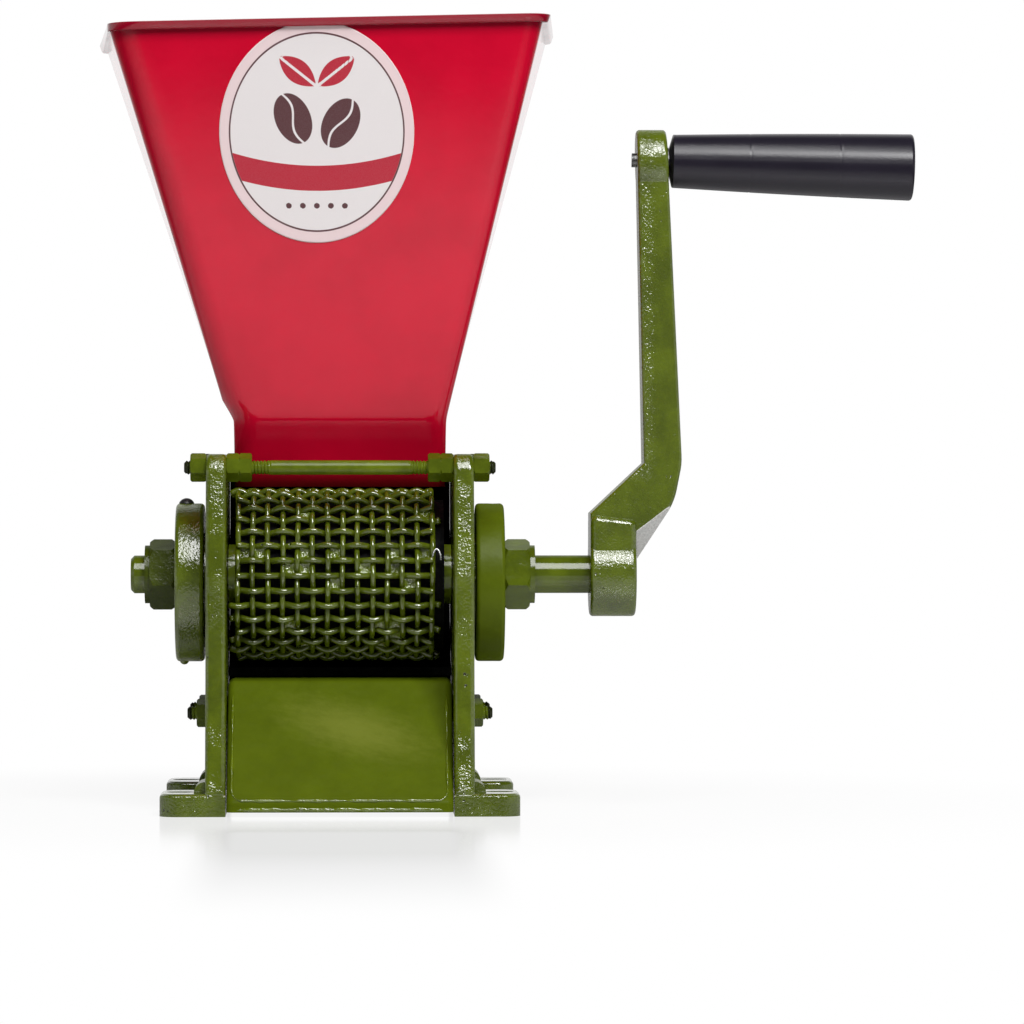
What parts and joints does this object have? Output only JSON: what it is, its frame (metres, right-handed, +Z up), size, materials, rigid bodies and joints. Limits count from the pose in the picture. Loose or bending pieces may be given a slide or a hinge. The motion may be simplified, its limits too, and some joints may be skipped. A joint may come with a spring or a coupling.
{
  "type": "coffee huller",
  "caption": "Hand-cranked coffee huller: sheet hopper over a wire-cloth drum between cast side plates, with eccentric bearings, breaker plate, chute and a crank with a turning grip.",
  "frame": {"origin": "on the bench under the machine, in the middle of the four foot slots", "axes": "+Z up; +X along the drum shaft towards the crank; the chute and front face -Y"},
  "size_m": [0.366, 0.1616, 0.3513],
  "materials": {
    "green_casting": "thick glossy olive green enamel over rough sand-cast iron",
    "green_steel": "glossy olive green enamel, brushed on thick",
    "red_sheet": "glossy red enamel on folded sheet",
    "dark_iron": "bare dark iron",
    "bare_steel": "bright zinc plate",
    "bronze": "oiled bronze",
    "black_plug": "black rubber",
    "black_grip": "black moulded plastic with a satin gloss"
  },
  "bodies": {
    "frame": {"left_side_plate": "green_casting", "right_side_plate": "green_casting", "top_front_tie_rod": "green_steel", "top_rear_tie_rod": "green_steel", "chute_rod": "green_steel", "lower_rear_tie_rod": "green_steel", "top_rod_nuts": "green_steel", "top_rod_jam_nuts": "green_steel", "lower_rod_nuts": "green_steel", "lower_rod_jam_nuts": "green_steel", "hopper": "red_sheet", "hopper_bolts": "bare_steel", "hopper_spacers": "bare_steel", "hopper_nuts": "green_steel", "breaker_plate": "dark_iron", "breaker_bolts": "green_steel", "chute": "green_steel"},
    "left_bearing": {"left_bearing_flange": "green_casting", "left_bearing_bush": "bronze", "left_oil_plug": "black_plug"},
    "right_bearing": {"right_bearing_flange": "green_casting", "right_bearing_bush": "bronze"},
    "drum": {"drum_shaft": "green_steel", "drum_core": "dark_iron", "drum_end_discs": "dark_iron", "drum_pins": "bare_steel", "thrust_collars": "green_steel", "wire_cloth_bars": "green_steel", "wire_cloth_hoops": "green_steel", "left_shaft_collar": "green_steel", "right_shaft_collar": "green_steel", "collar_set_screws": "bare_steel", "crank_arm": "green_casting", "crank_set_screw": "bare_steel", "grip_spindle": "bare_steel", "spindle_washer": "bare_steel"},
    "grip": {"grip": "black_grip"}
  },
  "joints": [
    {"name": "right_bearing_turn", "type": "hinge", "parent": "frame", "child": "right_bearing", "pos_m": [0.067, 0, 0.1014], "axis": [1, 0, 0], "range_deg": [-25, 25]},
    {"name": "left_bearing_turn", "type": "hinge", "parent": "frame", "child": "left_bearing", "pos_m": [-0.067, 0, 0.1014], "axis": [1, 0, 0], "range_deg": [-25, 25]},
    {"name": "drum_spin", "type": "hinge", "parent": "right_bearing", "child": "drum", "pos_m": [0, 0, 0.105], "axis": [1, 0, 0], "continuous": true},
    {"name": "grip_spin", "type": "hinge", "parent": "drum", "child": "grip", "pos_m": [0.1465, 0, 0.291], "axis": [0.9997, 0, -0.0244], "continuous": true}
  ],
  "couplings": [
    {"joint": "left_bearing_turn", "follows": "right_bearing_turn", "ratio": 1}
  ]
}
